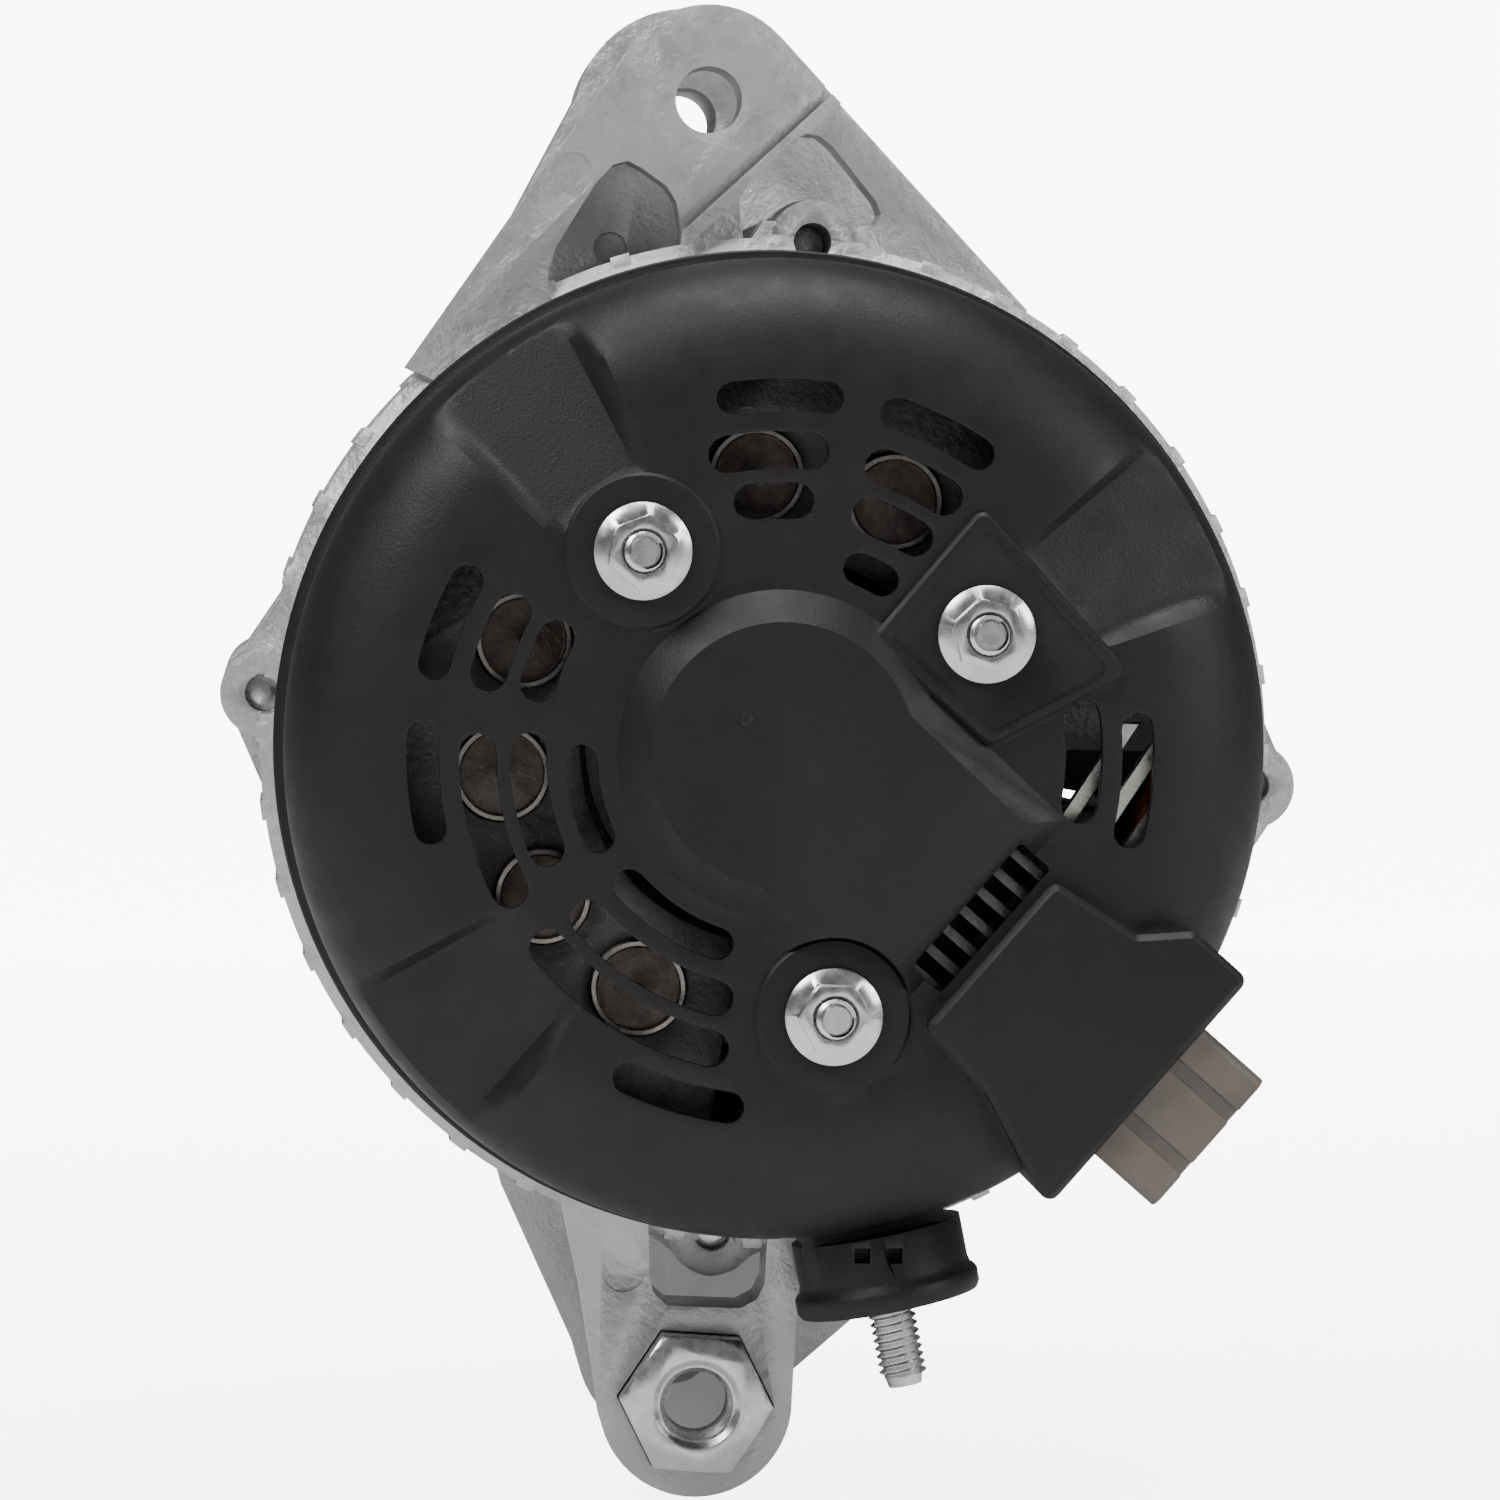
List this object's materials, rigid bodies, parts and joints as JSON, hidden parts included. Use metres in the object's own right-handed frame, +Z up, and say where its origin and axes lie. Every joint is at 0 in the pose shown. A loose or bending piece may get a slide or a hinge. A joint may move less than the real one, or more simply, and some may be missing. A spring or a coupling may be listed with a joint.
{
  "type": "car alternator",
  "caption": "Belt-driven car alternator with moulded vented rear cover, cast twin-ear frames, claw rotor, sprung brushes and output stud.",
  "frame": {"origin": "shaft axis at the middle plane of the belt grooves of the pulley", "axes": "+Y along the shaft towards the pulley nut, +Z up through the upper mounting ear, +X to the right seen from the rear cover"},
  "size_m": [0.1378, 0.1696, 0.1922],
  "materials": {
    "cast_aluminium": "satin, as cast",
    "cover_plastic": "fine matt grain",
    "zinc_steel": "bright zinc plate",
    "turned_steel": "turned",
    "pulley_steel": "black phosphate",
    "lamination_steel": "stacked sheet, varnished",
    "copper_winding": "enamelled copper",
    "claw_iron": "forged, machined rim",
    "fan_steel": "pressed sheet",
    "copper": "turned copper",
    "insulator_plastic": "moulded",
    "plug_plastic": "glass filled, grey brown",
    "bobbin_plastic": "natural nylon",
    "seal_rubber": "moulded",
    "sink_aluminium": "stamped",
    "diode_metal": "nickel plate with potting",
    "carbon": "pressed carbon",
    "spring_steel": "drawn wire",
    "tinned_copper": "tinned"
  },
  "bodies": {
    "housing": {"rear_cover": "cover_plastic", "rear_frame": "cast_aluminium", "drive_frame": "cast_aluminium", "stator_core": "lamination_steel", "stator_winding": "copper_winding", "case_bolts": "zinc_steel", "cover_studs": "zinc_steel", "cover_nuts": "zinc_steel", "cover_bushes": "zinc_steel", "pivot_nut": "zinc_steel", "bearing_retainer": "turned_steel", "front_outer_race": "turned_steel", "rear_outer_race": "turned_steel", "front_bearing_seals": "seal_rubber", "rear_bearing_seals": "seal_rubber", "positive_heat_sink": "sink_aluminium", "negative_heat_sink": "sink_aluminium", "positive_diodes": "diode_metal", "negative_diodes": "diode_metal", "rectifier_insulator": "insulator_plastic", "brush_holder": "insulator_plastic", "front_brush_spring": "spring_steel", "rear_brush_spring": "spring_steel", "regulator": "insulator_plastic", "regulator_fins": "sink_aluminium", "plug_socket": "plug_plastic", "plug_pins": "tinned_copper", "terminal_insulator": "cover_plastic", "terminal_stud": "zinc_steel", "output_busbar": "tinned_copper"},
    "rotor": {"shaft": "turned_steel", "pole_front": "claw_iron", "pole_rear": "claw_iron", "coil_bobbin": "bobbin_plastic", "field_coil": "copper_winding", "front_fan": "fan_steel", "rear_fan": "fan_steel", "slip_ring_sleeve": "insulator_plastic", "slip_ring_front": "copper", "slip_ring_rear": "copper", "pulley": "pulley_steel", "pulley_spacer": "turned_steel", "pulley_nut": "zinc_steel", "pulley_washer": "zinc_steel", "front_inner_race": "turned_steel", "rear_inner_race": "turned_steel"},
    "front_rollers": {"front_balls": "turned_steel", "front_cage": "fan_steel"},
    "rear_rollers": {"rear_balls": "turned_steel", "rear_cage": "fan_steel"},
    "front_brush": {"front_brush": "carbon"},
    "rear_brush": {"rear_brush": "carbon"}
  },
  "joints": [
    {"name": "rotor_spin", "type": "hinge", "parent": "housing", "child": "rotor", "pos_m": [0, 0, 0], "axis": [0, 1, 0], "continuous": true},
    {"name": "front_rollers_spin", "type": "hinge", "parent": "housing", "child": "front_rollers", "pos_m": [0, -0.03, 0], "axis": [0, 1, 0], "continuous": true},
    {"name": "rear_rollers_spin", "type": "hinge", "parent": "housing", "child": "rear_rollers", "pos_m": [0, -0.115, 0], "axis": [0, 1, 0], "continuous": true},
    {"name": "front_brush_slide", "type": "slide", "parent": "housing", "child": "front_brush", "axis": [0.7478, 0, -0.6639], "range_m": [0, 0.004], "stiffness_N_per_m": 200, "springref_m": -0.01, "deforming": ["front_brush_spring"]},
    {"name": "rear_brush_slide", "type": "slide", "parent": "housing", "child": "rear_brush", "axis": [0.7478, 0, -0.6639], "range_m": [0, 0.004], "stiffness_N_per_m": 200, "springref_m": -0.01, "deforming": ["rear_brush_spring"]}
  ],
  "couplings": [
    {"joint": "front_rollers_spin", "follows": "rotor_spin", "ratio": 0.3862},
    {"joint": "rear_rollers_spin", "follows": "rotor_spin", "ratio": 0.3864}
  ]
}
